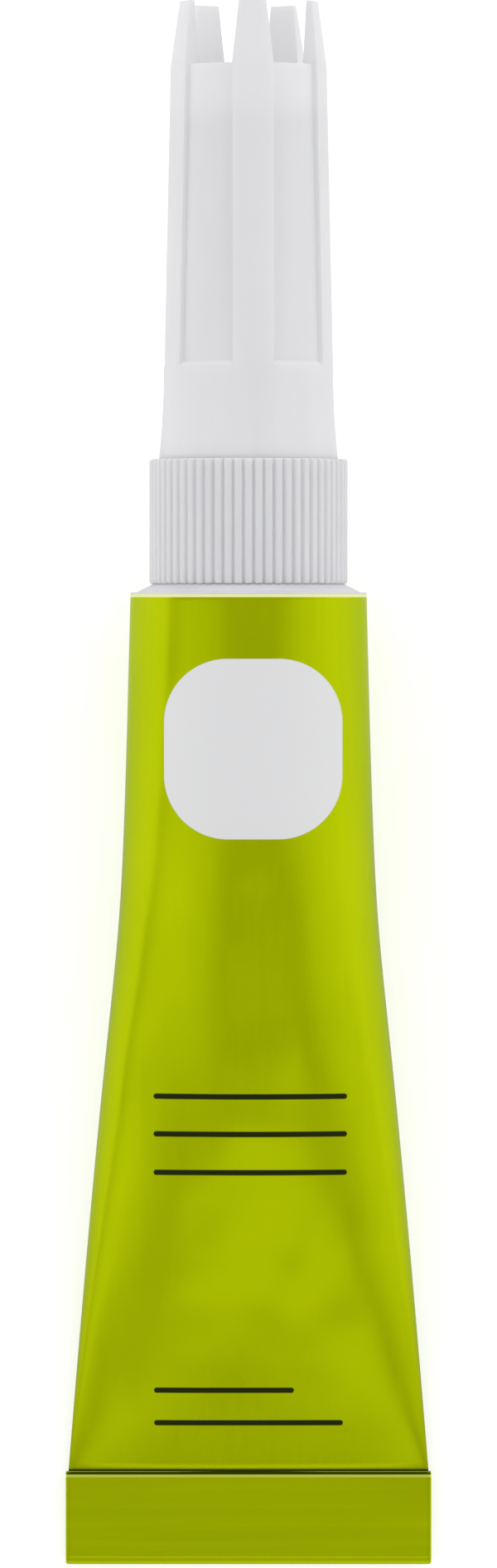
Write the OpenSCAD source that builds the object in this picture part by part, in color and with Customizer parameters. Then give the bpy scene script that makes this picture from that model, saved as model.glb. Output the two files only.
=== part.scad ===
// Super glue tube lying on its back, in millimetres: X across, +Y toward the cap, +Z up.
// Each piece is drawn standing on its tail with its front toward -Y, and lay_down() lays it on the table.

/* [Tube sleeve] */
// Diameter of the sleeve at the shoulder
tube_d = 13.5; // [12.5:0.1:14.5]
// Length of the sleeve from the tail fold to the shoulder rim
sleeve_len = 50.2; // [35:0.1:70]
// Thickness of the aluminium sheet
wall_t = 0.12; // [0.09:0.01:0.18]

/* [Tail] */
// Width of the flattened tail
tail_w = 20.9; // [19:0.1:22]
// Height of the folded band
fold_h = 5.3; // [4:0.1:8]
// Thickness of the latex between the two walls of the tail
seal_t = 0.06; // [0.04:0.01:0.1]
// Gap that stays between the layers of the fold
layer_gap = 0.04; // [0.02:0.01:0.08]
// Number of crimp lines across the front of the fold
crimp_count = 4; // [1:1:6]
// Width of a crimp line
crimp_w = 0.5; // [0.3:0.05:0.6]
// Depth of a crimp line
crimp_depth = 0.05; // [0.02:0.01:0.1]

/* [Shoulder and neck] */
// Height of the rim that closes the top of the sleeve
rim_h = 0.1; // [0.08:0.01:0.3]
// Width of the flat ring between the rim and the foot of the shoulder cone
rim_flat = 0.34; // [0.2:0.02:0.5]
// Slope of the shoulder cone in degrees
shoulder_slope = 27; // [20:1:32]
// Depth of the shoulder skirt inside the sleeve
plug_h = 0.4; // [0.3:0.05:0.8]
// Gap between the shoulder skirt and the sleeve
plug_gap = 0.03; // [0.02:0.01:0.05]
// Diameter of the neck between its thread ridges
neck_d = 7; // [6.6:0.1:7.2]
// Diameter of the hole in the neck
neck_bore_d = 5.4; // [4.4:0.1:5.8]
// Height of the neck above the shoulder cone
neck_len = 4.7; // [4.3:0.1:6]
// Chamfer of the neck's mouth
neck_edge = 0.2; // [0.1:0.05:0.3]

/* [Screw thread] */
// Rise of the thread in one turn
thread_pitch = 1.3; // [1.2:0.05:1.5]
// Turns of the ridge on the neck
neck_turns = 2.3; // [1.5:0.1:2.4]
// Turns of the ridge in the nozzle
nozzle_turns = 1.9; // [1:0.1:2]
// Height of the ridge on the neck
ridge_depth = 0.5; // [0.3:0.05:0.55]
// Width of a ridge at its foot
ridge_foot_w = 0.66; // [0.5:0.02:0.7]
// Width of a ridge at its crest
ridge_crest_w = 0.32; // [0.2:0.02:0.4]
// Space between a crest and the wall that it faces
crest_gap = 0.17; // [0.1:0.01:0.25]

/* [Nozzle] */
// Diameter of the collar over its ribs
collar_d = 11.32; // [10.8:0.02:12]
// Number of ribs round the collar
rib_count = 60; // [48:1:72]
// Depth of the grooves between the ribs
groove_depth = 0.22; // [0.1:0.02:0.3]
// Chamfer round the top of the collar
collar_edge = 0.3; // [0.1:0.05:0.5]
// Width of the flat foot under the collar
foot_w = 0.12; // [0.05:0.01:0.3]
// Gap between the collar's foot and the shoulder
foot_gap = 0.05; // [0.03:0.01:0.1]
// Gap between the membrane and the roof of the nozzle
seat_gap = 0.1; // [0.05:0.01:0.2]
// Thickness of the roof of the collar
roof_t = 1.12; // [0.8:0.02:1.6]
// Diameter of the seat that the cap pushes on
seat_d = 7.1; // [6.4:0.1:7.2]
// Height of that seat
seat_h = 3.2; // [2.5:0.1:4]
// Height of the snap bead on the seat
bead_h = 0.14; // [0.08:0.02:0.2]
// Length of the snap bead along the seat
bead_len = 0.6; // [0.4:0.05:0.8]
// Diameter of the spout above the seat
spout_d = 5.2; // [4.4:0.1:5.6]
// Height of the slope from the seat to the spout
step_h = 0.9; // [0.6:0.1:1.4]
// Diameter of the spout at its tip
tip_d = 2.1; // [1.8:0.1:2.6]
// Diameter of the feed at the membrane
feed_d = 4; // [3:0.1:4.2]
// Diameter of the orifice
orifice_d = 1; // [0.8:0.05:1.2]
// Length of the straight orifice
orifice_len = 6.5; // [5:0.1:8]

/* [Cap] */
// Diameter of the cap at its lower edge
skirt_d = 10.24; // [9.9:0.02:10.6]
// Diameter where the flare of the skirt ends
barrel_d = 9.66; // [9.4:0.02:9.9]
// Diameter at the rim of the crown
rim_d = 8.94; // [8.7:0.02:9.3]
// Diameter over the tips of the prongs
prong_d = 7.96; // [7.8:0.02:8.6]
// Height of the flared skirt
skirt_h = 5.5; // [4.5:0.1:7]
// Height of the panels between the ribs
panel_h = 16.95; // [14:0.05:22]
// Height of the prongs above the rim
prong_h = 3.65; // [2:0.05:5]
// Number of ribs and prongs
prong_count = 5; // [3:1:6]
// Turn of the front rib to the right in degrees
prong_turn = 3.5; // [0:0.5:36]
// Width of a rib
prong_w = 2.32; // [1.6:0.02:2.8]
// Width of a prong at its tip
prong_tip_w = 1.52; // [1:0.02:2]
// Depth of the panels
panel_depth = 0.3; // [0.15:0.01:0.35]
// Rise of the sloping ledge under each panel
ledge_h = 0.16; // [0.05:0.01:0.4]
// Gap between the cap and the collar
cap_gap = 0.08; // [0.05:0.01:0.2]
// Gap between the cap's bore and the seat
seat_play = 0.25; // [0.2:0.01:0.3]
// Gap between the two snap beads
bead_play = 0.03; // [0.02:0.01:0.06]
// Thickness of the barrel's wall at the crown floor
barrel_t = 0.5; // [0.4:0.02:0.6]
// Depth of the crown below its rim
crown_depth = 2.2; // [1.2:0.1:3]
// Thickness of the crown floor
floor_t = 0.8; // [0.6:0.05:1.2]
// Space between the crown floor and the tip of the spout
tip_gap = 1; // [0.5:0.1:2]
// Length of the inner socket round the spout
socket_len = 6; // [4:0.1:8]
// Gap between socket and spout
socket_gap = 0.15; // [0.1:0.01:0.3]
// Thickness of the socket wall
socket_t = 0.6; // [0.4:0.05:0.8]

/* [Contents] */
// Thickness of the neck membrane
foil_t = 0.08; // [0.05:0.01:0.15]
// Height of the liquid above the table
glue_level = 6.2; // [4:0.1:9]
// Gap between the liquid and the wall
glue_gap = 0.06; // [0.04:0.01:0.1]
// Diameter of the pin in the cap
pin_d = 0.6; // [0.4:0.02:0.7]
// Gap round the pin in the crown floor
pin_play = 0.02; // [0.01:0.01:0.04]
// Reach of the pin into the orifice
pin_reach = 4; // [2:0.1:4.8]

/* [Hidden] */
$fn = 64;

// Length by which a cutting body reaches past what it cuts
past = 1;
// Depth by which a thread ridge is sunk into its wall
ridge_sink = 0.15;

// The side of the sleeve follows one curve from the rim (0) to the fold (1)
level_shares = [0.55, 0.24];
flare_shares = [0.19, 0.14];
// The back of the sleeve runs straight from the rim to the fold, and the filled front bows out
front_power = 2;
// Roundness of a section, from an oval (0) to flat sides with round ends (1)
flat_share = 0.5;
ring_points = 48;
sleeve_levels = 20;
glue_levels = 14;
glue_start_share = 0.03;
glue_end_share = 0.95;

tube_r = tube_d / 2;
sheet_t = 2 * wall_t + seal_t;
layer_pitch = sheet_t + layer_gap;
fold_t = 2 * layer_pitch + sheet_t;
fold_front = fold_t - sheet_t / 2;
fold_back = sheet_t / 2;

// Shoulder and neck heights
rim_z = fold_h + sleeve_len;
cone_z = rim_z + rim_h;
cone_r = tube_r - rim_flat;
neck_r = neck_d / 2;
neck_bore_r = neck_bore_d / 2;
cone_h = (cone_r - neck_r) * tan(shoulder_slope);
neck_z = cone_z + cone_h;
mouth_z = neck_z + neck_len;
plug_r = tube_r - wall_t - plug_gap;
plug_cone_h = (plug_r - neck_bore_r) * tan(shoulder_slope);

// Thread: the nozzle's ridge runs half a turn's rise above the ridge of the neck
ridge_r = neck_r + ridge_depth;
thread_r = ridge_r + crest_gap;
inner_ridge_r = neck_r + crest_gap;
neck_thread_z = neck_z + ridge_foot_w;
nozzle_thread_z = neck_thread_z + thread_pitch / 2;
turn_steps = 24;
fade_share = 0.15;

// Nozzle heights
collar_r = collar_d / 2;
foot_r = collar_r - foot_w;
collar_z = cone_z + (cone_r - foot_r) * tan(shoulder_slope) + foot_gap;
under_h = (foot_r - thread_r) * tan(shoulder_slope);
foil_z = mouth_z;
ceiling_z = foil_z + foil_t + seat_gap;
collar_top = ceiling_z + roof_t;
seat_r = seat_d / 2;
seat_top = collar_top + seat_h;
bead_z = collar_top + seat_h / 2;
spout_z = seat_top + step_h;

// Cap heights and radii
cap_z = collar_top + cap_gap;
ledge_z = cap_z + skirt_h;
crown_z = ledge_z + panel_h;
top_z = crown_z + prong_h;
floor_z = crown_z - crown_depth;
web_z = floor_z - floor_t;
tip_z = web_z - tip_gap;
spout_r = spout_d / 2;
tip_r = tip_d / 2;
orifice_r = orifice_d / 2;
skirt_r = skirt_d / 2;
barrel_r = barrel_d / 2;
rim_r = rim_d / 2;
prong_r = prong_d / 2;
cap_bore_r = seat_r + seat_play;
crown_r = rim_r - panel_depth - barrel_t;
cap_bead_r = seat_r + bead_h + bead_play;
cap_bead_z = bead_z - bead_len;
socket_z = web_z - socket_len;
pin_r = pin_d / 2;
pin_hole_r = pin_r + pin_play;
pin_z = tip_z - pin_reach;
flare_steps = 6;

// Where the crest of each snap bead starts and ends along the bead
bead_shares = [0.33, 0.67];
cap_bead_shares = [0.25, 0.5];

// Lying on the table, the tube touches it with the rim of the sleeve and the back of the tail
rest_tilt = atan((tube_r - fold_back) / rim_z);
rest_lift = fold_back * cos(rest_tilt);
rest_mid = (top_z * cos(rest_tilt) + (prong_r - fold_front) * sin(rest_tilt)) / 2;

lime = [0.68, 0.75, 0.06];
dark_lime = [0.6, 0.67, 0.05];
white = [0.88, 0.88, 0.9];
metal = [0.8, 0.8, 0.82];
latex = [0.9, 0.85, 0.6];
liquid = [0.85, 0.9, 0.95, 0.6];

function mix(a, b, share) = a + (b - a) * share;
function curve(u, shares) = 3 * (1 - u) ^ 2 * u * shares[0] + 3 * (1 - u) * u ^ 2 * shares[1] + u ^ 3;

// Radius of the spout's cone at a height
function spout_radius(z) = mix(spout_r, tip_r, (z - spout_z) / (tip_z - spout_z));

// One ring of points round the sleeve, drawn in from its outside by inset
function sleeve_ring(u, inset) =
    let (half_w = mix(tube_r, tail_w / 2, curve(u, flare_shares)) - inset)
    let (level = curve(u, level_shares))
    let (front_t = mix(tube_r, fold_back, level ^ front_power) - inset)
    let (back_t = mix(tube_r, fold_back, level) - inset)
    [for (i = [0:ring_points - 1])
        let (c = cos(360 * i / ring_points), s = sin(360 * i / ring_points))
        let (wide = c * (1 + flat_share * (1 - c ^ 2)))
        let (half_t = s < 0 ? front_t : back_t)
        [(half_w - half_t) * wide + half_t * c, half_t * s, rim_z - sleeve_len * level]];

// Triangles between neighbouring rings
function ring_sides(rows, count, loop) =
    [for (k = [0:rows - (loop ? 1 : 2)], i = [0:count - 1])
        let (j = (i + 1) % count)
        let (a = k * count, b = ((k + 1) % rows) * count)
        each [[a + i, a + j, b + j], [a + i, b + j, b + i]]];

// Solid over a stack of rings from the top down; a loop of rings closes on itself
module skin(rings, loop) {
    count = len(rings[0]);
    base = (len(rings) - 1) * count;
    ends = [for (i = [1:count - 2]) each [[0, i + 1, i], [base, base + i, base + i + 1]]];
    sides = ring_sides(len(rings), count, loop);
    polyhedron([for (ring = rings) each ring], loop ? sides : concat(sides, ends));
}

// Right-hand ridge that winds up from height z, on a neck (crest_r > wall_r) or in a bore
module thread_ridge(wall_r, crest_r, z, turns) {
    way = sign(crest_r - wall_r);
    foot_r = wall_r - way * ridge_sink;
    steps = round(turns * turn_steps);
    fade = fade_share * steps;
    foot = [foot_r, ridge_foot_w / 2];
    points = [for (i = [0:steps])
        let (angle = 360 * i / turn_steps)
        let (level = z + thread_pitch * i / turn_steps)
        let (fade_in = min(1, i / fade, (steps - i) / fade))
        let (crest = [mix(wall_r, crest_r, fade_in), ridge_crest_w / 2])
        each [for (p = [[foot.x, -foot.y], [crest.x, -crest.y], crest, foot])
            [p.x * cos(angle), p.x * sin(angle), level + way * p.y]]];
    corner_count = 4;
    last = steps * corner_count;
    sides = [for (k = [0:steps - 1], e = [0:corner_count - 1])
        let (a = k * corner_count, b = a + corner_count, f = (e + 1) % corner_count)
        each [[a + e, a + f, b + f], [a + e, b + f, b + e]]];
    ends = [[0, 2, 1], [0, 3, 2], [last, last + 1, last + 2], [last, last + 2, last + 3]];
    polyhedron(points, concat(sides, ends));
}

// Lays a standing piece on its back, tail and rim on the table
module lay_down() {
    translate([0, -rest_mid, rest_lift]) rotate([rest_tilt - 90, 0, 0]) children();
}

module tube_sleeve() {
    outer = [for (i = [0:sleeve_levels]) sleeve_ring(i / sleeve_levels, 0)];
    inner = [for (i = [0:sleeve_levels]) sleeve_ring(1 - i / sleeve_levels, wall_t)];
    color(lime) skin(concat(outer, inner), true);
}

// Side outline of the twice folded sheet, drawn with the back of the tail toward +X
module fold_outline() {
    crimp_step = fold_h / (crimp_count + 1);
    difference() {
        translate([-fold_front, 0]) square([fold_t, fold_h]);
        translate([fold_back - layer_pitch, sheet_t]) square([layer_gap, fold_h]);
        translate([fold_back - 2 * layer_pitch, sheet_t]) square([layer_gap, fold_h - 2 * sheet_t]);
        translate([fold_back - 2 * layer_pitch, sheet_t]) square([layer_pitch, sheet_t]);
        for (i = [1:crimp_count])
            translate([-fold_front, i * crimp_step])
                crimp_cut();
    }
}

// Section of one crimp line
module crimp_cut() {
    half_w = crimp_w / 2;
    polygon([[-past, half_w], [0, half_w], [crimp_depth, 0], [0, -half_w], [-past, -half_w]]);
}

module tail_fold() {
    color(dark_lime) difference() {
        translate([-tail_w / 2, 0, 0]) rotate([90, 0, 90]) linear_extrude(tail_w) fold_outline();
        sealant_slot(past);
    }
}

// Space of the latex between the two walls of the first layer
module sealant_slot(over) {
    slot_w = tail_w - 2 * wall_t;
    translate([-slot_w / 2, -seal_t / 2, 2 * sheet_t]) cube([slot_w, seal_t, fold_h - 2 * sheet_t + over]);
}

module tail_sealant() {
    color(latex) sealant_slot(0);
}

module tube_shoulder() {
    color(metal) {
        rotate_extrude() polygon([
            [plug_r, rim_z], [tube_r, rim_z], [tube_r, cone_z], [cone_r, cone_z], [neck_r, neck_z],
            [neck_r, mouth_z - neck_edge], [neck_r - neck_edge, mouth_z], [neck_bore_r, mouth_z],
            [neck_bore_r, rim_z - plug_h + plug_cone_h], [plug_r, rim_z - plug_h]]);
        thread_ridge(neck_r, ridge_r, neck_thread_z, neck_turns);
    }
}

module neck_foil() {
    color(metal) translate([0, 0, foil_z]) cylinder(r = neck_r - neck_edge, h = foil_t);
}

// Liquid up to a level surface, in the frame of the lying tube
module glue_fill() {
    shares = [for (i = [0:glue_levels]) mix(glue_start_share, glue_end_share, i / glue_levels)];
    color(liquid) intersection() {
        lay_down() skin([for (u = shares) sleeve_ring(u, wall_t + glue_gap)], false);
        translate([-tail_w, -top_z, 0]) cube([2 * tail_w, 2 * top_z, glue_level]);
    }
}

// Outline of the collar with its ribs
module collar_outline() {
    step = 360 / rib_count;
    land_share = 0.5;
    root_share = 0.16;
    groove_r = collar_r - groove_depth;
    land = [[collar_r, -land_share], [collar_r, land_share]];
    root = [[groove_r, 1 - root_share], [groove_r, 1 + root_share]];
    polygon([for (i = [0:rib_count - 1], p = concat(land, root))
        let (angle = step * (i + p.y / 2))
        [p.x * sin(angle), -p.x * cos(angle)]]);
}

module collar() {
    intersection() {
        translate([0, 0, collar_z]) linear_extrude(collar_top - collar_z) collar_outline();
        rotate_extrude() polygon([
            [0, collar_z - past], [collar_r + past, collar_z - past],
            [collar_r + past, collar_top - collar_edge - past],
            [collar_r - collar_edge, collar_top], [0, collar_top]]);
    }
}

// Seat with its snap bead, and the spout above it
module spout() {
    bead_r = seat_r + bead_h;
    rotate_extrude() polygon([
        [0, ceiling_z], [seat_r, ceiling_z], [seat_r, bead_z],
        [bead_r, bead_z + bead_len * bead_shares[0]], [bead_r, bead_z + bead_len * bead_shares[1]],
        [seat_r, bead_z + bead_len], [seat_r, seat_top],
        [spout_r, spout_z], [tip_r, tip_z], [0, tip_z]]);
}

// Hollow of the nozzle: cone over the shoulder, bore over the neck, and the feed to the orifice
module nozzle_hollow() {
    feed_r = feed_d / 2;
    rotate_extrude() polygon([
        [0, collar_z - past], [foot_r, collar_z - past], [foot_r, collar_z], [thread_r, collar_z + under_h],
        [thread_r, ceiling_z], [feed_r, ceiling_z], [orifice_r, tip_z - orifice_len],
        [orifice_r, tip_z + past], [0, tip_z + past]]);
}

module nozzle() {
    color(white) {
        difference() {
            union() {
                collar();
                spout();
            }
            nozzle_hollow();
        }
        thread_ridge(thread_r, inner_ridge_r, nozzle_thread_z, nozzle_turns);
    }
}

// Turned body of the cap up to the tips of the prongs, with its bore, socket and crown
module cap_body() {
    bow = (skirt_r - barrel_r) / flare_steps ^ 2;
    flare = [for (i = [0:flare_steps])
        [barrel_r + bow * (flare_steps - i) ^ 2, cap_z + skirt_h * i / flare_steps]];
    socket_r = spout_radius(socket_z) + socket_gap;
    rotate_extrude() polygon(concat(flare, [
        [rim_r, crown_z], [prong_r, top_z], [crown_r, top_z], [crown_r, floor_z],
        [pin_hole_r, floor_z], [pin_hole_r, web_z],
        [tip_r + socket_gap, web_z], [tip_r + socket_gap, tip_z],
        [socket_r, socket_z], [socket_r + socket_t, socket_z], [socket_r + socket_t, web_z],
        [crown_r, web_z], [cap_bore_r, seat_top], [cap_bore_r, cap_bead_z + bead_len],
        [cap_bead_r, cap_bead_z + bead_len * cap_bead_shares[1]],
        [cap_bead_r, cap_bead_z + bead_len * cap_bead_shares[0]],
        [cap_bore_r, cap_bead_z], [cap_bore_r, cap_z]]));
}

// Space outside the panels and above the rim, from which the ribs and prongs stand out
module panel_space() {
    panel_r = barrel_r - panel_depth;
    rotate_extrude() polygon([
        [panel_r, ledge_z + ledge_h], [rim_r - panel_depth, crown_z], [0, crown_z], [0, top_z + past],
        [barrel_r + panel_depth, top_z + past], [barrel_r + panel_depth, ledge_z - ledge_h]]);
}

module prong_slab() {
    half_w = prong_w / 2;
    half_tip = prong_tip_w / 2;
    over = top_z + 2 * past;
    rotate([90, 0, 0]) translate([0, 0, socket_t]) linear_extrude(barrel_r + past) polygon([
        [-half_w, ledge_z - past], [half_w, ledge_z - past], [half_w, crown_z], [half_tip, top_z],
        [half_tip, over], [-half_tip, over], [-half_tip, top_z], [-half_w, crown_z]]);
}

module cap_shell() {
    color(white) difference() {
        cap_body();
        difference() {
            panel_space();
            for (i = [0:prong_count - 1])
                rotate(prong_turn + 360 * i / prong_count) prong_slab();
        }
    }
}

module cap_pin() {
    color(metal) translate([0, 0, pin_z]) cylinder(r = pin_r, h = floor_z - pin_z);
}

lay_down() tube_sleeve();
lay_down() tail_fold();
lay_down() tail_sealant();
lay_down() tube_shoulder();
lay_down() neck_foil();
glue_fill();
lay_down() nozzle();
lay_down() cap_shell();
lay_down() cap_pin();
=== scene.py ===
import math

import bmesh
import bpy
from mathutils import Matrix, Vector, noise


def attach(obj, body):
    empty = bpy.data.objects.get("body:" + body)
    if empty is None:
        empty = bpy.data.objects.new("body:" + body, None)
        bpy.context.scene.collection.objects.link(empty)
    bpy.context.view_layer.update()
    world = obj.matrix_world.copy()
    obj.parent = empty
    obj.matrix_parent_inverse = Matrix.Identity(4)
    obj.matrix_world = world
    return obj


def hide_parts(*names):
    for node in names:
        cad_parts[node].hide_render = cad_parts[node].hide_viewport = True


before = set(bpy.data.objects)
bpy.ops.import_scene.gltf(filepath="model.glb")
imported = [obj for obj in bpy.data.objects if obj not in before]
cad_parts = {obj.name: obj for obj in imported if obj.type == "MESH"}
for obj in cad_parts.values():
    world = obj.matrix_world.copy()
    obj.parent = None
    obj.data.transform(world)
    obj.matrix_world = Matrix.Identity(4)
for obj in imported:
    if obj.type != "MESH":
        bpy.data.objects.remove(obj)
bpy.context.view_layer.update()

MM = 0.001
TURN = 2 * math.pi

# Sleeve and tail, standing on the tail with the front toward -Y
tube_r = 6.75 * MM
tail_half_w = 10.45 * MM
sleeve_len = 50.2 * MM
fold_h = 5.3 * MM
wall_t = 0.12 * MM
sheet_t = 0.3 * MM
layer_pitch = 0.34 * MM
rim_z = fold_h + sleeve_len
level_shares = (0.55, 0.24)
flare_shares = (0.19, 0.14)
front_power = 2
flat_share = 0.5
sleeve_lap = 0.12 * MM
lap_swell_share = 0.15
sleeve_roll = 0.1 * MM
sleeve_side_step = 0.14 * MM

# Shoulder and neck
rim_h = 0.1 * MM
rim_flat = 0.34 * MM
shoulder_slope = math.radians(27)
neck_r = 3.5 * MM
neck_bore_r = 2.7 * MM
neck_len = 4.7 * MM
neck_edge = 0.2 * MM
plug_r = 6.6 * MM
plug_h = 0.4 * MM
cone_z = rim_z + rim_h
cone_r = tube_r - rim_flat
neck_z = cone_z + (cone_r - neck_r) * math.tan(shoulder_slope)
mouth_z = neck_z + neck_len
plug_cone_h = (plug_r - neck_bore_r) * math.tan(shoulder_slope)

# Thread
thread_pitch = 1.3 * MM
neck_turns = 2.3
nozzle_turns = 1.9
ridge_depth = 0.5 * MM
ridge_foot_w = 0.66 * MM
ridge_crest_w = 0.32 * MM
ridge_sink = 0.15 * MM
crest_gap = 0.17 * MM
fade_share = 0.15
thread_r = neck_r + ridge_depth + crest_gap
neck_thread_z = neck_z + ridge_foot_w
nozzle_thread_z = neck_thread_z + thread_pitch / 2

# Nozzle
collar_r = 5.66 * MM
rib_count = 60
groove_depth = 0.22 * MM
collar_foot_edge = 0.1 * MM
lip_h = 0.12 * MM
lip_edge = 0.1 * MM
lip_gap = 0.04 * MM
foot_r = 5.54 * MM
foot_gap = 0.05 * MM
foil_stack = 0.18 * MM
roof_t = 1.12 * MM
seat_r = 3.55 * MM
seat_h = 3.2 * MM
bead_h = 0.14 * MM
bead_len = 0.6 * MM
bead_shares = (0.33, 0.67)
spout_r = 2.6 * MM
spout_lift = 0.012 * MM
step_h = 0.9 * MM
tip_r = 1.05 * MM
feed_r = 2 * MM
orifice_r = 0.5 * MM
orifice_len = 6.5 * MM
groove_r = collar_r - groove_depth
collar_z = cone_z + (cone_r - foot_r) * math.tan(shoulder_slope) + foot_gap
under_h = (foot_r - thread_r) * math.tan(shoulder_slope)
ceiling_z = mouth_z + foil_stack
collar_top = ceiling_z + roof_t
lip_z = collar_top + lip_h
seat_top = collar_top + seat_h
bead_z = collar_top + seat_h / 2
spout_z = seat_top + step_h

# Cap
skirt_r = 5.12 * MM
barrel_r = 4.83 * MM
rim_r = 4.47 * MM
prong_r = 3.98 * MM
skirt_h = 5.5 * MM
panel_h = 16.95 * MM
prong_h = 3.65 * MM
prong_count = 5
prong_turn = math.radians(3.5)
prong_w = 2.32 * MM
prong_tip_w = 1.52 * MM
panel_depth = 0.3 * MM
panel_draft = math.radians(0.7)
ledge_h = 0.16 * MM
cap_gap = 0.08 * MM
cap_bore_r = 3.8 * MM
cap_bead_r = 3.72 * MM
cap_bead_shares = (0.25, 0.5)
barrel_t = 0.5 * MM
crown_depth = 2.2 * MM
floor_t = 0.8 * MM
tip_gap = 1 * MM
socket_len = 6 * MM
socket_gap = 0.15 * MM
socket_t = 0.6 * MM
pin_hole_r = 0.32 * MM
cap_z = collar_top + cap_gap
ledge_z = cap_z + skirt_h
crown_z = ledge_z + panel_h
top_z = crown_z + prong_h
floor_z = crown_z - crown_depth
web_z = floor_z - floor_t
tip_z = web_z - tip_gap
crown_r = rim_r - panel_depth - barrel_t

# The tube lies on the back of its tail and on the rim of its shoulder
fold_back = sheet_t / 2
fold_front = 2 * layer_pitch + fold_back
rest_tilt = math.atan((tube_r - fold_back) / rim_z)
rest_lift = fold_back * math.cos(rest_tilt)
rest_mid = (top_z * math.cos(rest_tilt) + (prong_r - fold_front) * math.sin(rest_tilt)) / 2
quarter_turn = TURN / 4
lay_turn = Matrix.Rotation(rest_tilt - quarter_turn, 4, "X")
LAY = Matrix.Translation((0, -rest_mid, rest_lift)) @ lay_turn


def mix(a, b, share):
    return a + (b - a) * share


def curve(u, shares):
    return 3 * (1 - u) ** 2 * u * shares[0] + 3 * (1 - u) * u ** 2 * shares[1] + u ** 3


def bell(x):
    return math.exp(-x * x)


class Shape:
    """Points and faces of one piece, gathered ring by ring."""

    def __init__(self):
        self.points = []
        self.faces = []

    def ring(self, points):
        start = len(self.points)
        self.points.extend(points)
        return list(range(start, len(self.points)))

    def band(self, a, b, loop=True):
        count = len(a)
        for i in range(count if loop else count - 1):
            j = (i + 1) % count
            self.faces.append((a[i], a[j], b[j], b[i]))

    def chain(self, rings, closed=True):
        for k in range(len(rings) if closed else len(rings) - 1):
            self.band(rings[k], rings[(k + 1) % len(rings)])

    def end_caps(self, rings):
        self.faces.append(rings[0])
        self.faces.append(rings[-1][::-1])

    def turned(self, profile, columns):
        """Closed body of revolution over a closed profile of (radius, height)."""
        angles = [TURN * i / columns for i in range(columns)]
        rings = []
        for r, z in profile:
            rings.append(self.ring([(r * math.cos(a), r * math.sin(a), z) for a in angles]))
        self.chain(rings)

    def piece(self, name, body, node, material):
        mesh = bpy.data.meshes.new(name)
        mesh.from_pydata(self.points, [], self.faces)
        mesh.transform(LAY)
        work = bmesh.new()
        work.from_mesh(mesh)
        bmesh.ops.recalc_face_normals(work, faces=work.faces)
        work.to_mesh(mesh)
        work.free()
        mesh.shade_smooth()
        mesh.materials.append(material)
        obj = bpy.data.objects.new(name, mesh)
        bpy.context.collection.objects.link(obj)
        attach(obj, body)
        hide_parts(node)
        return obj


# Edges sharper than this are rounded
sharp_angle = math.radians(32)


def soften(obj, width, segments):
    bevel = obj.modifiers.new("edges", "BEVEL")
    bevel.width = width
    bevel.segments = segments
    bevel.limit_method = "ANGLE"
    bevel.angle_limit = sharp_angle
    bevel.harden_normals = False
    obj.modifiers.new("shading", "WEIGHTED_NORMAL").keep_sharp = False


# Sockets of a colour mix: its factor and two colours, and the mixed colour
MIX_INPUTS = (0, 6, 7)
MIX_OUTPUT = 2


class Nodes:
    """A node tree with short ways to add and join its nodes."""

    def __init__(self, tree):
        self.tree = tree

    def node(self, kind, inputs, **settings):
        made = self.tree.nodes.new(kind)
        for key, value in settings.items():
            setattr(made, key, value)
        for key, value in inputs.items():
            self.put(made.inputs[key], value)
        return made

    def put(self, socket, value):
        if isinstance(value, bpy.types.NodeSocket):
            self.tree.links.new(value, socket)
        else:
            socket.default_value = value

    def math(self, operation, a, b=0.0, c=0.0):
        return self.node("ShaderNodeMath", {0: a, 1: b, 2: c}, operation=operation).outputs[0]

    def largest(self, first, *others):
        for other in others:
            first = self.math("MAXIMUM", first, other)
        return first

    def span(self, value, low, high, out_low, out_high, kind="LINEAR"):
        inputs = {"Value": value, "From Min": low, "From Max": high}
        inputs.update({"To Min": out_low, "To Max": out_high})
        return self.node("ShaderNodeMapRange", inputs, interpolation_type=kind).outputs["Result"]

    def rise(self, value, low, high):
        """0 below low, 1 above high; high may be the lower one."""
        return self.span(value, low, high, 0.0, 1.0, "SMOOTHSTEP")

    def blend(self, factor, a, b):
        inputs = dict(zip(MIX_INPUTS, (factor, a, b)))
        return self.node("ShaderNodeMix", inputs, data_type="RGBA").outputs[MIX_OUTPUT]


# Most values of a noise lie in this range
noise_range = (0.3, 0.7)


class Paint(Nodes):
    """One procedural material, painted in the coordinates of the standing tube."""

    def __init__(self, name):
        self.material = bpy.data.materials.new(name)
        self.material.use_nodes = True
        super().__init__(self.material.node_tree)
        self.shader = self.tree.nodes["Principled BSDF"]
        place = self.node("ShaderNodeTexCoord", {}).outputs["Object"]
        stand = LAY.inverted()
        turn = {"Vector": place, "Location": stand.to_translation(), "Rotation": stand.to_euler()}
        self.coords = self.node("ShaderNodeMapping", turn).outputs["Vector"]

    def set(self, **values):
        for key, value in values.items():
            self.put(self.shader.inputs[key.replace("_", " ")], value)

    def noise(self, sizes, detail, roughness):
        """Noise with features of those sizes along x, y and z."""
        scaled = {"Vector": self.coords, "Scale": [1 / size for size in sizes]}
        place = self.node("ShaderNodeMapping", scaled).outputs["Vector"]
        inputs = {"Vector": place, "Scale": 1.0, "Detail": detail, "Roughness": roughness}
        return self.node("ShaderNodeTexNoise", inputs).outputs["Fac"]

    def vary(self, fac, low, high):
        return self.span(fac, *noise_range, low, high)

    def tint(self, fac, deep, pale):
        return self.blend(self.vary(fac, 0.0, 1.0), deep, pale)

    def bump(self, height, distance, normal=None):
        inputs = {"Height": height, "Distance": distance}
        if normal:
            inputs["Normal"] = normal
        return self.node("ShaderNodeBump", inputs).outputs["Normal"]


def even(size):
    return (size, size, size)


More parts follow.
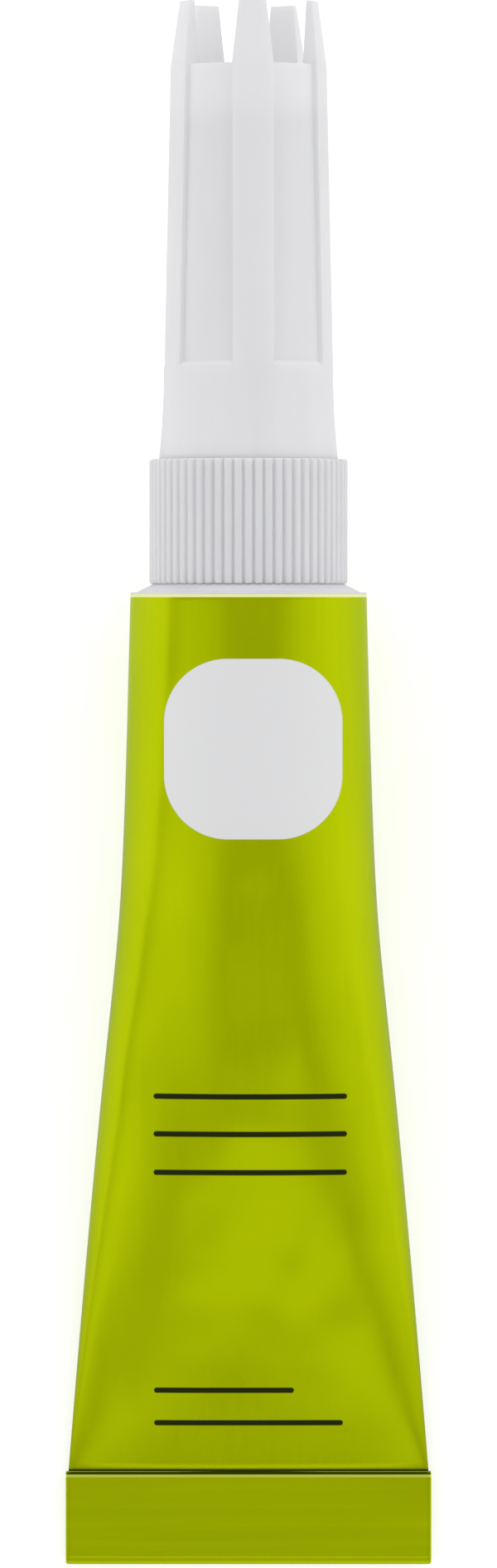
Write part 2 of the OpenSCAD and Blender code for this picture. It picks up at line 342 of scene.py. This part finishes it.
# Lime lacquer: linear colours, and noises with the sizes of their features, detail and roughness
lime = (0.53, 0.65, 0.0, 1)
lime_deep = (0.48, 0.595, 0.0, 1)
# painted highlight on the top bend of the fold
lime_highlight = (0.74, 0.88, 0.13, 1)
# painted shade: darkens the sleeve's sides, the gap above the fold and the fold's edges
painted_shade = (0.05, 0.065, 0.0, 1)
# pale base coat of the rolled rim, made brighter as a painted highlight
rim_coat_highlight = (0.96, 1.0, 0.52, 1)
print_white = (0.88, 0.88, 0.9, 1)
print_dark = (0.012, 0.016, 0.004, 1)
lacquer_metal = 0.8
lacquer_rough = (0.19, 0.26)
lacquer_edge = (0.75, 0.85, 0.2, 1)
lacquer_specular = 0.2
ink_rough = 0.12
cloud_noise = (even(7 * MM), 3.0, 0.55)
peel_noise = (even(0.53 * MM), 2.0, 0.5)
peel_h = 0.0011 * MM
draw_h = 0.0009 * MM
sleeve_draw = ((0.38 * MM, 0.38 * MM, 14 * MM), 4.0, 0.6)
sleeve_draw_share = 0.3
fold_draw = ((16 * MM, 16 * MM, 1.1 * MM), 4.0, 0.6)
fold_draw_share = 0.7

# Blank panel and plain rules of the print on the front of the sleeve; height and length of each rule
panel_x = 0.27 * MM
panel_z = 46.75 * MM
panel_half = (5.05 * MM, 5.1 * MM)
panel_corner = 3.6 * MM
rule_left = -5.4 * MM
rule_half_h = 0.16 * MM
print_edge = 0.03 * MM
rules = (
    (27 * MM, 11 * MM),
    (24.85 * MM, 11 * MM),
    (22.65 * MM, 11 * MM),
    (10.05 * MM, 8 * MM),
    (8.15 * MM, 10.8 * MM),
)

# Painted marks: the rolled rim in pale base coat with a painted highlight, painted shade along the
# sleeve's sides, painted shadow in the gap above the fold, a painted highlight on the fold's top bend
# and painted shade along the fold's edges
rim_line = 0.17 * MM
gap_shadow_h = 0.1 * MM
gap_shadow_edge = 0.09 * MM
side_shade_share = 0.45
side_shade_power = 3
side_shade_strength = 0.6
side_shade_line_share = 0.2
side_shade_line_start_share = 0.3
highlight_drop = 0.2 * MM
highlight_half = 0.1 * MM
# width and strength of the painted shade along the fold's edges
fold_shade_w = 0.35 * MM
fold_shade_strength = 0.2
highlight_z = fold_h - highlight_drop


def patch_mask(paint, across, up, middle, half, corner):
    """1 inside a rectangle with round corners, 0 outside."""
    offs = []
    for value, centre, reach in zip((across, up), middle, half):
        away = paint.math("ABSOLUTE", paint.math("SUBTRACT", value, centre))
        offs.append(paint.math("MAXIMUM", paint.math("SUBTRACT", away, reach - corner)))
    square = [paint.math("MULTIPLY", off, off) for off in offs]
    distance = paint.math("SQRT", paint.math("ADD", *square))
    return paint.rise(distance, corner + print_edge, corner - print_edge)


def sleeve_marks(paint, colour):
    """Print, the rim's pale coat with a painted highlight, and painted shade of the sleeve; gives the
    colour and where these hide the lacquer.
    """
    x, y, z = paint.node("ShaderNodeSeparateXYZ", {"Vector": paint.coords}).outputs
    front = paint.math("LESS_THAN", y, 0.0)
    # painted shade along the sleeve's sides, read from the mesh
    side_shade = paint.node("ShaderNodeAttribute", {}, attribute_name="side_shade").outputs["Fac"]
    # painted shadow in the gap just above the fold
    gap_shadow_top = fold_h + gap_shadow_h
    gap_shadow = paint.math("MULTIPLY", front, paint.rise(z, gap_shadow_top + gap_shadow_edge, gap_shadow_top))
    # pale base coat on the rim, with a painted highlight
    rim = paint.rise(z, rim_z - rim_line - print_edge, rim_z - rim_line + print_edge)
    panel = patch_mask(paint, x, z, (panel_x, panel_z), panel_half, panel_corner)
    rows = []
    for height, length in rules:
        middle = (rule_left + length / 2, height)
        rows.append(patch_mask(paint, x, z, middle, (length / 2, rule_half_h), rule_half_h))
    panel = paint.math("MULTIPLY", panel, front)
    ruled = paint.math("MULTIPLY", paint.largest(*rows), front)
    dark = paint.largest(gap_shadow, paint.math("MULTIPLY", side_shade, side_shade_strength))
    colour = paint.blend(dark, colour, painted_shade)
    colour = paint.blend(panel, colour, print_white)
    colour = paint.blend(ruled, colour, print_dark)
    colour = paint.blend(rim, colour, rim_coat_highlight)
    return colour, paint.largest(dark, panel, ruled, rim)


def fold_marks(paint, colour):
    """Painted highlight on the top bend, painted shadow above it and painted shade along the edges of
    the folded tail, all of it lacquer.
    """
    x, y, z = paint.node("ShaderNodeSeparateXYZ", {"Vector": paint.coords}).outputs
    front = paint.math("LESS_THAN", y, -layer_pitch)
    # painted highlight along the top bend of the front flap
    away = paint.math("ABSOLUTE", paint.math("SUBTRACT", z, highlight_z))
    top_highlight = paint.rise(away, highlight_half, highlight_half / 2)
    # painted shadow at the top edge of the front flap
    gap_shadow = paint.rise(z, highlight_z + highlight_half / 2, highlight_z + highlight_half)
    # painted shade along the fold's sides and bottom edge
    side = paint.rise(paint.math("ABSOLUTE", x), tail_half_w - fold_shade_w, tail_half_w)
    low = paint.rise(z, fold_shade_w, 0.0)
    edge = paint.math("MULTIPLY", paint.largest(side, low), fold_shade_strength)
    colour = paint.blend(edge, colour, painted_shade)
    colour = paint.blend(paint.math("MULTIPLY", top_highlight, front), colour, lime_highlight)
    colour = paint.blend(paint.math("MULTIPLY", gap_shadow, front), colour, painted_shade)
    return colour, None


def lacquer(name, draw_noise, draw_share, marks):
    """Satin lime lacquer on drawn aluminium, with the marks of one piece: print, painted highlights and
    painted shade.
    """
    paint = Paint(name)
    cloud = paint.noise(*cloud_noise)
    draw = paint.noise(*draw_noise)
    peel = paint.noise(*peel_noise)
    tone = paint.math("MULTIPLY", cloud, 1 - draw_share)
    tone = paint.math("ADD", tone, paint.math("MULTIPLY", draw, draw_share))
    colour, covered = marks(paint, paint.tint(tone, lime_deep, lime))
    rough = paint.vary(tone, *lacquer_rough)
    metallic = lacquer_metal
    if covered:
        metallic = paint.span(covered, 0.0, 1.0, lacquer_metal, 0.0)
        rough = paint.math("ADD", rough, paint.math("MULTIPLY", covered, ink_rough))
    paint.set(Base_Color=colour, Metallic=metallic, Roughness=rough)
    paint.set(Specular_IOR_Level=lacquer_specular, Specular_Tint=lacquer_edge)
    paint.set(Normal=paint.bump(peel, peel_h, paint.bump(draw, draw_h)))
    return paint.material


# White plastic
flow_noise = ((2.4 * MM, 2.4 * MM, 11 * MM), 3.0, 0.6)
flow_h = 0.003 * MM
matt_noise = (even(0.19 * MM), 2.0, 0.6)
matt_h = 0.0007 * MM
milk_share = 0.4
milk_depth = 1.4 * MM
milk_radius = (1.0, 1.0, 1.0)
rough_sway = 0.05


def plastic(name, deep, pale, rough):
    """Moulded white polyethylene: slightly milky, with faint flow marks and a fine matt grain."""
    paint = Paint(name)
    flow = paint.noise(*flow_noise)
    matt = paint.noise(*matt_noise)
    paint.set(Base_Color=paint.tint(flow, deep, pale))
    paint.set(Roughness=paint.vary(flow, rough + rough_sway, rough - rough_sway))
    paint.set(Normal=paint.bump(matt, matt_h, paint.bump(flow, flow_h)))
    paint.set(Subsurface_Weight=milk_share, Subsurface_Scale=milk_depth)
    paint.set(Subsurface_Radius=milk_radius)
    return paint.material


# Bare and base-coated metal
grain_h = 0.0009 * MM
grain_detail = 4.0
grain_rough = 0.6


def metal(name, deep, pale, rough, grain_sizes, metallic):
    """Metal with a fine grain from its forming."""
    paint = Paint(name)
    grain = paint.noise(grain_sizes, grain_detail, grain_rough)
    paint.set(Base_Color=paint.tint(grain, deep, pale), Metallic=metallic)
    paint.set(Roughness=paint.vary(grain, rough - rough_sway, rough + rough_sway))
    paint.set(Normal=paint.bump(grain, grain_h))
    return paint.material


# Latex
latex_deep = (0.55, 0.44, 0.24, 1)
latex_pale = (0.7, 0.6, 0.36, 1)
latex_rough = (0.6, 0.8)
mottle_noise = (even(1.4 * MM), 4.0, 0.6)
mottle_h = 0.004 * MM


def latex_film(name):
    """Matt cream latex with a mottled thickness."""
    paint = Paint(name)
    mottle = paint.noise(*mottle_noise)
    paint.set(Base_Color=paint.tint(mottle, latex_deep, latex_pale))
    paint.set(Roughness=paint.vary(mottle, *latex_rough))
    paint.set(Normal=paint.bump(mottle, mottle_h))
    return paint.material


# Liquid
haze_deep = (0.86, 0.9, 0.92, 1)
haze_pale = (0.95, 0.97, 0.98, 1)
haze_noise = (even(3.8 * MM), 2.0, 0.5)
liquid_rough = (0.02, 0.08)
liquid_clear = 0.9
liquid_ior = 1.46


def liquid(name):
    """Clear thin adhesive with a faint haze."""
    paint = Paint(name)
    haze = paint.noise(*haze_noise)
    paint.set(Base_Color=paint.tint(haze, haze_deep, haze_pale))
    paint.set(Roughness=paint.vary(haze, *liquid_rough))
    paint.set(Transmission_Weight=liquid_clear, IOR=liquid_ior)
    return paint.material


# Sleeve
sleeve_columns = 192
sleeve_rows = 220
# Height and size of the sleeve's soft crumples
crumples = ((0.1 * MM, 6.5 * MM), (0.035 * MM, 3 * MM))
dent_start_share = 0.25
dent_end_share = 0.17
# Soft dents of the front and back: side, x, z, half width, half length, turn in degrees, depth
dents = (
    (-1, -3.4 * MM, 27 * MM, 2.2 * MM, 7 * MM, 14, 0.16 * MM),
    (-1, 4.2 * MM, 23 * MM, 2.4 * MM, 8 * MM, -12, 0.07 * MM),
    (-1, -7.6 * MM, 12 * MM, 1.4 * MM, 4.5 * MM, 8, 0.12 * MM),
    (-1, -5 * MM, 35 * MM, 3 * MM, 9 * MM, -8, 0.3 * MM),
    (-1, 5.5 * MM, 11 * MM, 3 * MM, 4 * MM, -30, 0.1 * MM),
    (-1, 3.8 * MM, 18.4 * MM, 1.3 * MM, 4.5 * MM, -27, 0.07 * MM),
    (-1, 0.6 * MM, 34 * MM, 2 * MM, 6 * MM, -6, 0.16 * MM),
    (1, 2.6 * MM, 30 * MM, 3 * MM, 8 * MM, 10, 0.16 * MM),
    (1, -4.8 * MM, 17 * MM, 3 * MM, 6 * MM, -16, 0.14 * MM),
)


def dent_rise(x, z, s):
    """Rise of the sleeve at a place from the dents on that side, below zero in a dent."""
    rise = 0
    for side, dent_x, dent_z, wide, long, turn, depth in dents:
        if side * s > 0:
            t = math.radians(turn)
            across = (x - dent_x) * math.cos(t) + (z - dent_z) * math.sin(t)
            along = (z - dent_z) * math.cos(t) - (x - dent_x) * math.sin(t)
            rise -= depth * bell(across / wide) * bell(along / long)
    return rise


def sleeve_point(u, q):
    """Point on the outside of the sleeve: u runs from the rim to the fold, q round the section."""
    level = curve(u, level_shares)
    half_w = mix(tube_r, tail_half_w - sleeve_side_step, curve(u, flare_shares))
    c, s = math.cos(q), math.sin(q)
    half_t = mix(tube_r, fold_back, level ** front_power if s < 0 else level)
    x = (half_w - half_t) * c * (1 + flat_share * (1 - c * c)) + half_t * c
    y = half_t * s
    z = rim_z - sleeve_len * level
    soft = min(1, level / dent_start_share) * min(1, (1 - level) / dent_end_share)
    rise = dent_rise(x, z, s)
    for height, size in crumples:
        rise += height * noise.noise(Vector((x, y, z)) / size)
    return x, y + soft * rise * s, z


def side_shade_at(u, q):
    """How much painted shade darkens the sleeve along its sides: broadly near the tail, in a thin line
    above.
    """
    level = curve(u, level_shares)
    soft = bell(math.sin(q) / side_shade_share) * level ** side_shade_power
    line = bell(math.sin(q) / side_shade_line_share) * min(1, level / side_shade_line_start_share)
    return max(soft, line)


def build_sleeve():
    shape = Shape()
    angles = [TURN * i / sleeve_columns for i in range(sleeve_columns)]
    rings = []
    side_shades = []
    for k in range(sleeve_rows + 1):
        u = k / sleeve_rows
        rings.append(shape.ring([sleeve_point(u, q) for q in angles]))
        side_shades += [side_shade_at(u, q) for q in angles]
    tail = [shape.points[i] for i in rings[-1]]
    rim = [shape.points[i] for i in rings[0]]
    rings.append(shape.ring([(x, y * (1 + lap_swell_share), z - sleeve_lap) for x, y, z in tail]))
    side_shades += [side_shade_at(1, q) for q in angles]
    shrink = 1 - sleeve_roll / tube_r
    rings.insert(0, shape.ring([(x * shrink, y * shrink, z + sleeve_roll / 2) for x, y, z in rim]))
    side_shades += [0] * sleeve_columns
    shape.chain(rings, closed=False)
    material = lacquer("lime_lacquer", sleeve_draw, sleeve_draw_share, sleeve_marks)
    obj = shape.piece("sleeve_skin", "tube", "tube_sleeve", material)
    # painted shade along the sides, kept on the mesh for the lacquer
    obj.data.attributes.new("side_shade", "FLOAT", "POINT").data.foreach_set("value", side_shades)
    wall = obj.modifiers.new("wall", "SOLIDIFY")
    wall.thickness = wall_t
    wall.offset = -1


# Folded tail
fold_columns = 120
bend_steps = 10
run_steps = 56
end_steps = 5
slim_share = 0.25
crimp_count = 4
crimp_w = 0.26 * MM
crimp_depth = 0.014 * MM
wave_h = 0.03 * MM
wave_size = 2.2 * MM
wave_stretch_share = 0.12
flap_gap = 0.6 * MM


def fold_path():
    """Middle line of the folded sheet as (y, z, ny, nz), from the sleeve to its hidden end."""
    wide_r = layer_pitch
    tight_r = layer_pitch / 2
    low = wide_r + sheet_t / 2
    high = fold_h - tight_r - sheet_t / 2
    front = -2 * layer_pitch
    runs = [i / run_steps for i in range(run_steps + 1)]
    angles = [TURN / 2 * i / bend_steps for i in range(1, bend_steps)]
    bends = [(math.cos(a), math.sin(a)) for a in angles]
    path = [(0, mix(fold_h, low, share), 1, 0) for share in runs]
    path += [(wide_r * c - wide_r, low - wide_r * s, c, -s) for c, s in bends]
    path += [(front, mix(low, high, share), -1, 0) for share in runs]
    path += [(front + tight_r - tight_r * c, high + tight_r * s, -c, s) for c, s in bends]
    path += [(-layer_pitch, mix(high, flap_gap, share), 1, 0) for share in runs]
    return path


def crimp_at(z):
    step = fold_h / (crimp_count + 1)
    return sum(bell((z - step * (i + 1)) / crimp_w) for i in range(crimp_count))


def build_fold():
    shape = Shape()
    path = fold_path()
    half = sheet_t / 2
    ends = [half * (1 - math.cos(quarter_turn * i / end_steps)) for i in range(end_steps)]
    spans = [half + (2 * tail_half_w - sheet_t) * i / fold_columns for i in range(fold_columns + 1)]
    along = ends + spans + [2 * tail_half_w - e for e in reversed(ends)]
    rings = []
    for place in along:
        edge = min(place, 2 * tail_half_w - place, half) / half
        thick = half * mix(slim_share, 1, math.sqrt(1 - (1 - edge) ** 2))
        x = place - tail_half_w
        outer, inner = [], []
        for y, z, ny, nz in path:
            wave = wave_h * noise.noise(Vector((x * wave_stretch_share, 0, z)) / wave_size)
            lift = (wave - crimp_depth * crimp_at(z)) * max(0, -ny)
            outer.append((x, y + ny * (thick + lift), z + nz * thick))
            inner.append((x, y - ny * thick, z - nz * thick))
        rings.append(shape.ring(outer + inner[::-1]))
    shape.chain(rings, closed=False)
    for end in (rings[0], rings[-1]):
        shape.band(end[:len(path)], end[len(path):][::-1], loop=False)
    material = lacquer("lime_fold", fold_draw, fold_draw_share, fold_marks)
    shape.piece("tail_folded", "tube", "tail_fold", material)


# Shoulder, nozzle and cap
round_columns = 128
ridge_steps = 40
soft_edge = 0.05 * MM
shoulder_edge = 0.04 * MM
soft_segments = 2
cap_edge = 0.07 * MM
cap_segments = 3


def thread_ridge(shape, wall_r, crest_r, z, turns):
    """Right-hand ridge that winds up from height z and fades in and out."""
    way = 1 if crest_r > wall_r else -1
    foot = wall_r - way * ridge_sink
    half_foot, half_crest = ridge_foot_w / 2, ridge_crest_w / 2
    steps = round(turns * ridge_steps)
    fade = fade_share * steps
    rings = []
    for i in range(steps + 1):
        a = TURN * i / ridge_steps
        level = z + thread_pitch * i / ridge_steps
        r = mix(wall_r, crest_r, min(1, i / fade, (steps - i) / fade))
        section = [(foot, -half_foot), (r, -half_crest), (r, half_crest), (foot, half_foot)]
        c, s = math.cos(a), math.sin(a)
        rings.append(shape.ring([(p * c, p * s, level + h) for p, h in section]))
    shape.chain(rings, closed=False)
    shape.end_caps(rings)


def build_shoulder(material):
    shape = Shape()
    plug_z = rim_z - plug_h
    profile = [(plug_r, rim_z), (tube_r, rim_z), (tube_r, cone_z), (cone_r, cone_z)]
    profile += [(neck_r, neck_z), (neck_r, mouth_z - neck_edge), (neck_r - neck_edge, mouth_z)]
    profile += [(neck_bore_r, mouth_z), (neck_bore_r, plug_z + plug_cone_h), (plug_r, plug_z)]
    shape.turned(profile, round_columns)
    thread_ridge(shape, neck_r, neck_r + ridge_depth, neck_thread_z, neck_turns)
    obj = shape.piece("shoulder_neck", "tube", "tube_shoulder", material)
    soften(obj, shoulder_edge, soft_segments)


# Places across one rib in shares of its pitch, and how far it stands out there in shares of the groove
rib_shares = (
    (-0.5, 0), (-0.42, 0.12), (-0.33, 0.75), (-0.22, 1),
    (0, 1), (0.22, 1), (0.33, 0.75), (0.42, 0.12),
)


def build_nozzle(material):
    shape = Shape()
    waist_r = seat_r - 2 * bead_h
    bead_r = seat_r + bead_h
    lip_r = skirt_r + lip_gap
    under_r = foot_r - collar_foot_edge

    def ring(crest, root, z):
        points = []
        for i in range(rib_count):
            for place, share in rib_shares:
                a = TURN * (i + place) / rib_count
                r = mix(root, crest, share)
                points.append((r * math.sin(a), -r * math.cos(a), z))
        return shape.ring(points)

    rings = [ring(collar_r - collar_foot_edge, groove_r - collar_foot_edge, collar_z)]
    rings.append(ring(collar_r, groove_r, collar_z + collar_foot_edge))
    rings.append(ring(collar_r, groove_r, lip_z - lip_edge))
    rings.append(ring(collar_r - lip_edge, groove_r - lip_edge, lip_z))
    smooth = [(lip_r, lip_z), (lip_r, collar_top), (waist_r, collar_top), (waist_r, ceiling_z)]
    smooth += [(thread_r, ceiling_z), (thread_r, collar_z + under_h), (under_r, collar_z)]
    rings += [ring(r, r, z) for r, z in smooth]
    shape.chain(rings)
    spout_low = ceiling_z + spout_lift
    profile = [(feed_r, spout_low), (seat_r, spout_low), (seat_r, bead_z)]
    profile += [(bead_r, bead_z + bead_len * share) for share in bead_shares]
    profile += [(seat_r, bead_z + bead_len), (seat_r, seat_top), (spout_r, spout_z), (tip_r, tip_z)]
    profile += [(orifice_r, tip_z), (orifice_r, tip_z - orifice_len)]
    shape.turned(profile, round_columns)
    thread_ridge(shape, thread_r, neck_r + crest_gap, nozzle_thread_z, nozzle_turns)
    obj = shape.piece("nozzle_moulded", "nozzle", "nozzle", material)
    soften(obj, soft_edge, soft_segments)


rib_columns = 8
panel_columns = 18
flare_steps = 8
cap_rows = 6
sector_points = rib_columns + panel_columns + 2


def sector_ring(r_rib, r_panel, z, width, guide_r):
    """Points round the cap: each sector has a rib of that width at guide_r, and a panel."""
    points = []
    sector = TURN / prong_count
    half = math.asin(width / 2 / guide_r)
    for n in range(prong_count):
        middle = prong_turn + sector * n
        for i in range(rib_columns + 1):
            a = middle + mix(-half, half, i / rib_columns)
            points.append((r_rib * math.sin(a), -r_rib * math.cos(a), z))
        for i in range(panel_columns + 1):
            a = middle + mix(half + panel_draft, sector - half - panel_draft, i / panel_columns)
            points.append((r_panel * math.sin(a), -r_panel * math.cos(a), z))
    return points


def cap_inside():
    """Inside of the cap as (radius, height), from the crown's rim down to the foot."""
    slope = (tip_r - spout_r) / (tip_z - spout_z)
    socket_z = web_z - socket_len
    socket_r = spout_r + slope * (socket_z - spout_z) + socket_gap
    socket_tip_r = tip_r + socket_gap
    bead_low = bead_z - bead_len
    profile = [(crown_r, crown_z), (crown_r, floor_z), (pin_hole_r, floor_z), (pin_hole_r, web_z)]
    profile += [(socket_tip_r, web_z), (socket_tip_r, tip_z), (socket_r, socket_z)]
    profile += [(socket_r + socket_t, socket_z), (socket_r + socket_t, web_z), (crown_r, web_z)]
    profile += [(cap_bore_r, seat_top), (cap_bore_r, bead_low + bead_len)]
    profile += [(cap_bead_r, bead_low + bead_len * share) for share in reversed(cap_bead_shares)]
    profile += [(cap_bore_r, bead_low), (cap_bore_r, cap_z)]
    return profile


def cap_prong(shape, rim_out, rim_in, first):
    """One prong over the rib whose points start at first on the two rims of the crown."""
    last = first + rib_columns + 1
    outs, ins = [rim_out[first:last]], [rim_in[first:last]]
    for i in range(1, cap_rows + 1):
        share = i / cap_rows
        width = mix(prong_w, prong_tip_w, share)
        z = mix(crown_z, top_z, share)
        r = mix(rim_r, prong_r, share)
        outs.append(shape.ring(sector_ring(r, r, z, width, r)[first:last]))
        ins.append(shape.ring(sector_ring(crown_r, crown_r, z, width, crown_r)[first:last]))
    for k in range(cap_rows):
        shape.band(outs[k], outs[k + 1], loop=False)
        shape.band(ins[k + 1], ins[k], loop=False)
        shape.faces.append((outs[k][0], outs[k + 1][0], ins[k + 1][0], ins[k][0]))
        shape.faces.append((outs[k + 1][-1], outs[k][-1], ins[k][-1], ins[k + 1][-1]))
    shape.band(outs[-1], ins[-1], loop=False)


def build_cap(material):
    shape = Shape()
    rings = [shape.ring(sector_ring(r, r, z, prong_w, crown_r)) for r, z in cap_inside()]
    for i in range(flare_steps + 1):
        share = i / flare_steps
        r = mix(barrel_r, skirt_r, (1 - share) ** 2)
        z = mix(cap_z, ledge_z - ledge_h, share)
        rings.append(shape.ring(sector_ring(r, r, z, prong_w, r)))
    panel_low = ledge_z + ledge_h / 2
    for i in range(cap_rows + 1):
        share = i / cap_rows
        r = mix(barrel_r, rim_r, share)
        z = mix(panel_low, crown_z, share)
        rings.append(shape.ring(sector_ring(r, r - panel_depth, z, prong_w, r)))
    shape.chain(rings, closed=False)
    rim_out, rim_in = rings[-1], rings[0]
    count = len(rim_out)
    for i in range(count):
        if i % sector_points >= rib_columns:
            j = (i + 1) % count
            shape.faces.append((rim_out[i], rim_out[j], rim_in[j], rim_in[i]))
    for n in range(prong_count):
        cap_prong(shape, rim_out, rim_in, n * sector_points)
    obj = shape.piece("cap_moulded", "cap", "cap_shell", material)
    soften(obj, cap_edge, cap_segments)


# Finishes: deep and pale linear colour, roughness, and for metals the grain's sizes and how metallic
turned_grain = (3.3 * MM, 3.3 * MM, 0.19 * MM)
wire_grain = (0.14 * MM, 0.14 * MM, 3.3 * MM)
foil_grain = even(1.1 * MM)
cap_white = ((0.87, 0.87, 0.89, 1), (0.9, 0.9, 0.92, 1), 0.36)
nozzle_white = ((0.8, 0.8, 0.825, 1), (0.84, 0.84, 0.86, 1), 0.4)
base_coat = ((0.76, 0.75, 0.8, 1), (0.84, 0.83, 0.88, 1), 0.42, turned_grain, 0.1)
foil_bright = ((0.66, 0.66, 0.69, 1), (0.8, 0.8, 0.82, 1), 0.24, foil_grain, 1.0)
pin_wire = ((0.42, 0.42, 0.45, 1), (0.56, 0.56, 0.58, 1), 0.28, wire_grain, 1.0)

build_sleeve()
build_fold()
build_shoulder(metal("base_coat", *base_coat))
build_nozzle(plastic("nozzle_white", *nozzle_white))
build_cap(plastic("cap_white", *cap_white))

# Pieces that keep their solids
kept = {
    "tail_sealant": latex_film("latex_film"),
    "neck_foil": metal("foil_bright", *foil_bright),
    "glue_fill": liquid("clear_liquid"),
    "cap_pin": metal("pin_wire", *pin_wire),
}
for node, material in kept.items():
    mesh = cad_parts[node].data
    mesh.materials.clear()
    mesh.materials.append(material)

# Floor: how it glows where the camera sees it, and where it is mirrored or seen through the liquid
floor_half = 6.0
floor_colour = (0.84, 0.84, 0.84, 1)
floor_rough = (0.9, 1.0)
floor_glow = 0.48
mirror_glow = 0.26
paper_noise = (even(17 * MM), 3.0, 0.5)
glow_white = (1, 1, 1, 1)


def build_floor():
    """White paper that also glows where it is seen, so that it stays white behind the object."""
    corners = [(-floor_half, -floor_half, 0), (floor_half, -floor_half, 0)]
    corners += [(floor_half, floor_half, 0), (-floor_half, floor_half, 0)]
    mesh = bpy.data.meshes.new("floor")
    mesh.from_pydata(corners, [], [(0, 1, 2, 3)])
    paint = Paint("floor_paper")
    rough = paint.vary(paint.noise(*paper_noise), *floor_rough)
    paint.set(Base_Color=floor_colour, Roughness=rough, Specular_IOR_Level=0.0)
    rays = paint.tree.nodes.new("ShaderNodeLightPath").outputs
    seen = paint.math("MULTIPLY", rays["Is Camera Ray"], floor_glow)
    mirrored = paint.largest(rays["Is Glossy Ray"], rays["Is Transmission Ray"])
    glow = paint.math("ADD", seen, paint.math("MULTIPLY", mirrored, mirror_glow))
    paint.set(Emission_Color=glow_white, Emission_Strength=glow)
    mesh.materials.append(paint.material)
    obj = bpy.data.objects.new("floor", mesh)
    bpy.context.collection.objects.link(obj)


# Brightness of the surroundings from the horizon (0) to straight overhead (1), and to the right
sky_shares = ((0.0, 1.0), (0.09, 1.0), (0.15, 0.54), (0.55, 0.54), (1.0, 0.47))
right_base = 0.5
right_glow = 0.46
right_start_share = 0.4
right_power = 2
# Soft glows to both sides: direction, brightness, cosine at the rim
glows = (
    ((-0.74, -0.2, 0.64), 0.13, 0.87),
    ((-0.86, -0.36, 0.34), 0.26, 0.9),
    ((-0.55, -0.38, 0.74), 0.12, 0.9),
    ((0.7, -0.28, 0.64), 0.12, 0.9),
    ((0.62, -0.45, 0.64), 0.1, 0.94),
)


def build_world():
    world = bpy.data.worlds.new("studio")
    bpy.context.scene.world = world
    world.use_nodes = True
    nodes = Nodes(world.node_tree)
    way = nodes.node("ShaderNodeTexCoord", {}).outputs["Generated"]
    x, y, z = nodes.node("ShaderNodeSeparateXYZ", {"Vector": way}).outputs
    ramp = nodes.node("ShaderNodeValToRGB", {"Fac": z})
    stops = ramp.color_ramp.elements
    while len(stops) < len(sky_shares):
        stops.new(1.0)
    for stop, (place, level) in zip(stops, sky_shares):
        stop.position = place
        stop.color = (level, level, level, 1)
    right = nodes.math("POWER", nodes.span(x, right_start_share, 1.0, 0.0, 1.0), right_power)
    right = nodes.math("MULTIPLY_ADD", right, right_glow, right_base)
    total = nodes.math("MAXIMUM", right, ramp.outputs["Color"])
    for aim, brightness, rim_cosine in glows:
        inputs = {0: way, 1: Vector(aim).normalized()}
        toward = nodes.node("ShaderNodeVectorMath", inputs, operation="DOT_PRODUCT")
        soft = nodes.rise(toward.outputs["Value"], rim_cosine, 1.0)
        total = nodes.math("MULTIPLY_ADD", soft, brightness, total)
    nodes.put(world.node_tree.nodes["Background"].inputs["Color"], total)


# Soft lamps aimed at the object: name, place, size, radiance, shown in reflections
lamps = (
    ("tail_soft", (0.04, -0.34, 0.52), (0.3, 0.09), 0.5, True),
    ("left_soft", (-0.46, -0.2, 0.33), (0.32, 0.34), 0.5, False),
    ("far_soft", (0.0, 0.4, 0.09), (0.5, 0.25), 1.15, False),
    ("fill_top", (0.0, 0.1, 0.8), (0.7, 0.7), 0.4, False),
    ("fill_left", (-0.6, 0.1, 0.3), (0.5, 0.5), 0.6, False),
    ("fill_right", (0.6, 0.1, 0.3), (0.5, 0.5), 0.8, False),
)


def build_lamp(name, place, size, radiance, glossy):
    light = bpy.data.lights.new(name, "AREA")
    light.shape = "RECTANGLE"
    light.size, light.size_y = size
    light.energy = radiance * math.pi * size[0] * size[1]
    obj = bpy.data.objects.new(name, light)
    bpy.context.collection.objects.link(obj)
    obj.location = place
    obj.rotation_euler = Vector(place).to_track_quat("Z", "Y").to_euler()
    obj.visible_camera = False
    obj.visible_glossy = glossy


# Camera over the middle of the tube, swung a little toward the cap
view_z = 44.65 * MM
view_distance = 500 * MM
view_swing = math.radians(1.2)
view_lens = 200.8


def build_camera():
    camera = bpy.data.cameras.new("camera")
    camera.lens = view_lens
    obj = bpy.data.objects.new("camera", camera)
    bpy.context.collection.objects.link(obj)
    middle = Matrix.Translation((0, 0, view_z))
    turn = Matrix.Rotation(quarter_turn - view_swing, 4, "X")
    back_off = Matrix.Translation((0, 0, view_distance))
    obj.matrix_world = LAY @ middle @ turn @ back_off
    bpy.context.scene.camera = obj


bpy.context.scene.view_settings.view_transform = "Standard"
build_floor()
build_world()
for row in lamps:
    build_lamp(*row)
build_camera()
